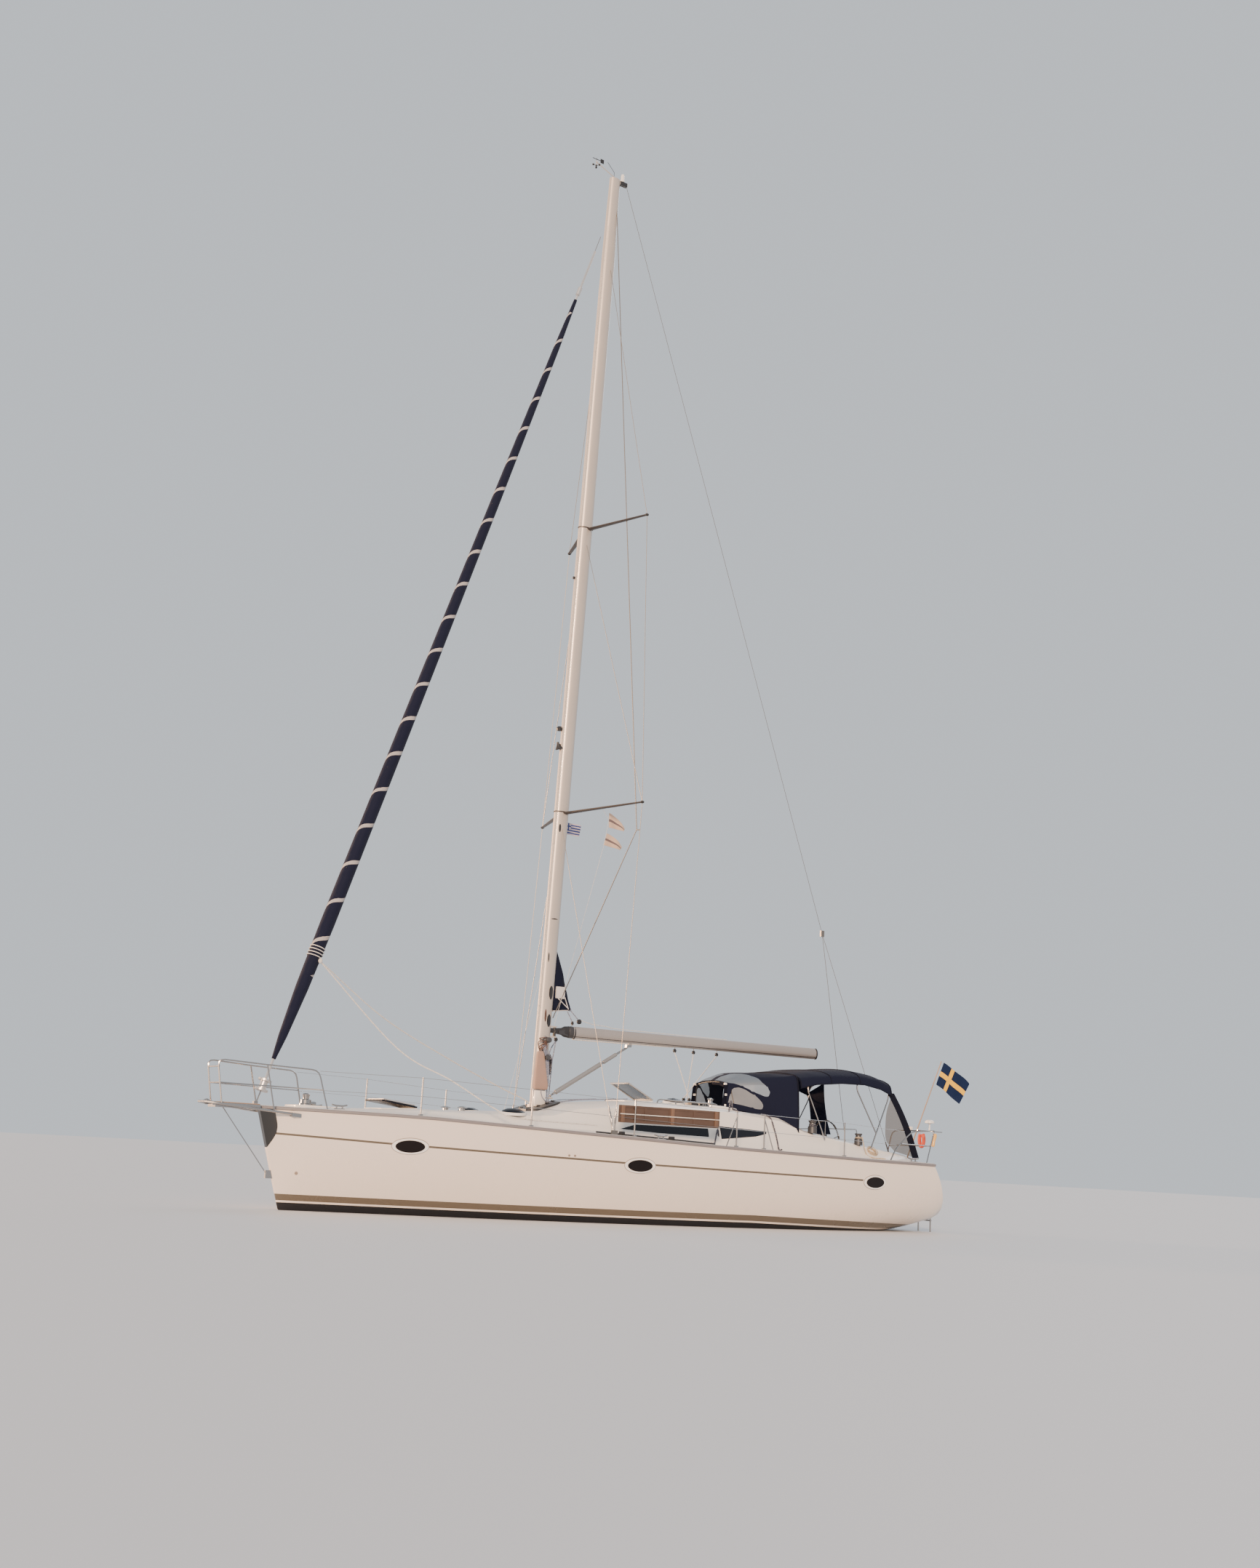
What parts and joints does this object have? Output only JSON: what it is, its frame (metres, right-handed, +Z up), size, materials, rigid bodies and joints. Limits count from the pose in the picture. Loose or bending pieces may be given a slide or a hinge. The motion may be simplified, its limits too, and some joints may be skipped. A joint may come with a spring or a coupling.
{
  "type": "sailing yacht",
  "caption": "Masthead cruising sloop afloat, with fin keel, spade rudder, furled sails, twin wheels, sprayhood, sun canopy and bow platform.",
  "frame": {"origin": "centreline at the plane of the waterline, half way along the waterline", "axes": "+X to the bow, +Y to port, +Z up"},
  "size_m": [14.4198, 4.2318, 22.185],
  "materials": {
    "gelcoat": "glossy white gelcoat",
    "rub_rail": "weathered grey",
    "underwater_paint": "matt paint",
    "rudder_skin": "matt paint on a moulded blade",
    "propeller_bronze": "polished bronze",
    "engine_paint": "painted",
    "cabin_wood": "satin varnish",
    "teak": "weathered teak",
    "glazing": "dark acrylic",
    "hatch_frame": "anodised",
    "stainless": "polished",
    "spar_alloy": "satin anodised",
    "dark_fittings": "dark anodised",
    "navy_cloth": "woven acrylic",
    "sail_cloth": "sun strip on rolled sail"
  },
  "bodies": {
    "root": {"hull": "gelcoat", "deck": "gelcoat", "rub_rail": "rub_rail", "keel": "underwater_paint", "saildrive": "underwater_paint", "engine": "engine_paint", "saloon_joinery": "cabin_wood", "companionway_steps": "cabin_wood", "window_port_fwd": "glazing", "window_port_aft": "glazing", "window_stbd_fwd": "glazing", "window_stbd_aft": "glazing", "mast": "spar_alloy", "spreader_lower_port": "spar_alloy", "spreader_lower_stbd": "spar_alloy", "spreader_upper_port": "spar_alloy", "spreader_upper_stbd": "spar_alloy", "shrouds_port": "stainless", "shrouds_stbd": "stainless", "backstay": "stainless", "forestay_foot": "stainless", "forestay_head": "stainless", "bowsprit": "stainless", "pulpit": "stainless", "guardrail_port": "stainless", "guardrail_stbd": "stainless", "pushpit_port": "stainless", "pushpit_stbd": "stainless", "pedestal_port": "gelcoat", "pedestal_stbd": "gelcoat", "winch_aft_port": "stainless", "winch_fore_port": "stainless", "winch_aft_stbd": "stainless", "winch_fore_stbd": "stainless", "traveller": "dark_fittings", "sprayhood": "navy_cloth", "bimini": "navy_cloth", "bimini_bow_fore": "stainless", "bimini_bow_aft": "stainless", "flagstaff": "teak", "gangplank": "teak"},
    "rudder_blade": {"rudder": "rudder_skin"},
    "wheel_port": {"steering_wheel_port": "stainless"},
    "wheel_stbd": {"steering_wheel_stbd": "stainless"},
    "propeller_rotor": {"propeller": "propeller_bronze"},
    "main_hatch": {"main_hatch_lid": "hatch_frame"},
    "fore_hatch": {"fore_hatch_lid": "hatch_frame"},
    "boom_swivel": {"gooseneck": "dark_fittings"},
    "boom_spar": {"boom": "spar_alloy"},
    "vang_foot": {"vang_swivel": "stainless"},
    "vang_barrel": {"vang_cylinder": "spar_alloy"},
    "vang_strut": {"vang_rod": "stainless"},
    "furler": {"furler_foil": "dark_fittings", "genoa_roll": "sail_cloth"},
    "vane": {"wind_vane": "dark_fittings"},
    "cups": {"wind_cups": "dark_fittings"},
    "ladder": {"stern_ladder": "stainless"}
  },
  "joints": [
    {"name": "rudder_turn", "type": "hinge", "parent": "root", "child": "rudder_blade", "pos_m": [-5.01, 0, -0.3], "axis": [0, 0, 1], "range_deg": [-35, 35]},
    {"name": "wheel_port_turn", "type": "hinge", "parent": "root", "child": "wheel_port", "pos_m": [-4.54, 0.62, 1.56], "axis": [1, 0, 0], "range_deg": [-270, 270]},
    {"name": "wheel_stbd_turn", "type": "hinge", "parent": "root", "child": "wheel_stbd", "pos_m": [-4.54, -0.62, 1.56], "axis": [1, 0, 0], "range_deg": [-270, 270]},
    {"name": "propeller_spin", "type": "hinge", "parent": "root", "child": "propeller_rotor", "pos_m": [-3.075, 0, -0.9], "axis": [1, 0, 0], "continuous": true},
    {"name": "main_hatch_hinge", "type": "hinge", "parent": "root", "child": "main_hatch", "pos_m": [-0.784, 0, 2.106], "axis": [0, -1, 0], "range_deg": [-29, 60]},
    {"name": "fore_hatch_hinge", "type": "hinge", "parent": "root", "child": "fore_hatch", "pos_m": [3.895, 0, 1.699], "axis": [0, -1, 0], "range_deg": [-10, 80]},
    {"name": "boom_swing", "type": "hinge", "parent": "root", "child": "boom_swivel", "pos_m": [1.175, 0, 3.183], "axis": [0, 0, 1], "range_deg": [-70, 70]},
    {"name": "boom_lift", "type": "hinge", "parent": "boom_swivel", "child": "boom_spar", "pos_m": [1.085, 0, 3.183], "axis": [0, 1, 0], "range_deg": [-1, 5]},
    {"name": "vang_swing", "type": "hinge", "parent": "root", "child": "vang_foot", "pos_m": [1.175, 0, 2.081], "axis": [0, 0, 1], "range_deg": [-70, 70]},
    {"name": "vang_tilt", "type": "hinge", "parent": "vang_foot", "child": "vang_barrel", "pos_m": [1.1179, 0, 2.1161], "axis": [0, 1, 0], "range_deg": [-3, 5]},
    {"name": "vang_stroke", "type": "slide", "parent": "vang_barrel", "child": "vang_strut", "axis": [-0.852, 0, 0.5236], "range_m": [-0.05, 0.1]},
    {"name": "furler_turn", "type": "hinge", "parent": "root", "child": "furler", "pos_m": [6.545, 0, 1.65], "axis": [-0.2987, 0, 0.9544], "continuous": true},
    {"name": "vane_turn", "type": "hinge", "parent": "root", "child": "vane", "pos_m": [1.45, 0.04, 20.24], "axis": [0, 0, 1], "continuous": true},
    {"name": "cups_spin", "type": "hinge", "parent": "root", "child": "cups", "pos_m": [1.45, 0.04, 20.13], "axis": [0, 0, 1], "continuous": true},
    {"name": "ladder_fold", "type": "hinge", "parent": "root", "child": "ladder", "pos_m": [-6.82, 0.93, 0.43], "axis": [0, 1, 0], "range_deg": [0, 165]}
  ],
  "couplings": [
    {"joint": "wheel_port_turn", "follows": "rudder_turn", "ratio": 7.7},
    {"joint": "wheel_stbd_turn", "follows": "rudder_turn", "ratio": 7.7},
    {"joint": "vang_swing", "follows": "boom_swing", "ratio": 1},
    {"joint": "vang_tilt", "follows": "boom_lift", "ratio": 0.6773},
    {"joint": "vang_stroke", "follows": "boom_lift", "m_per_rad": 0.8918}
  ]
}
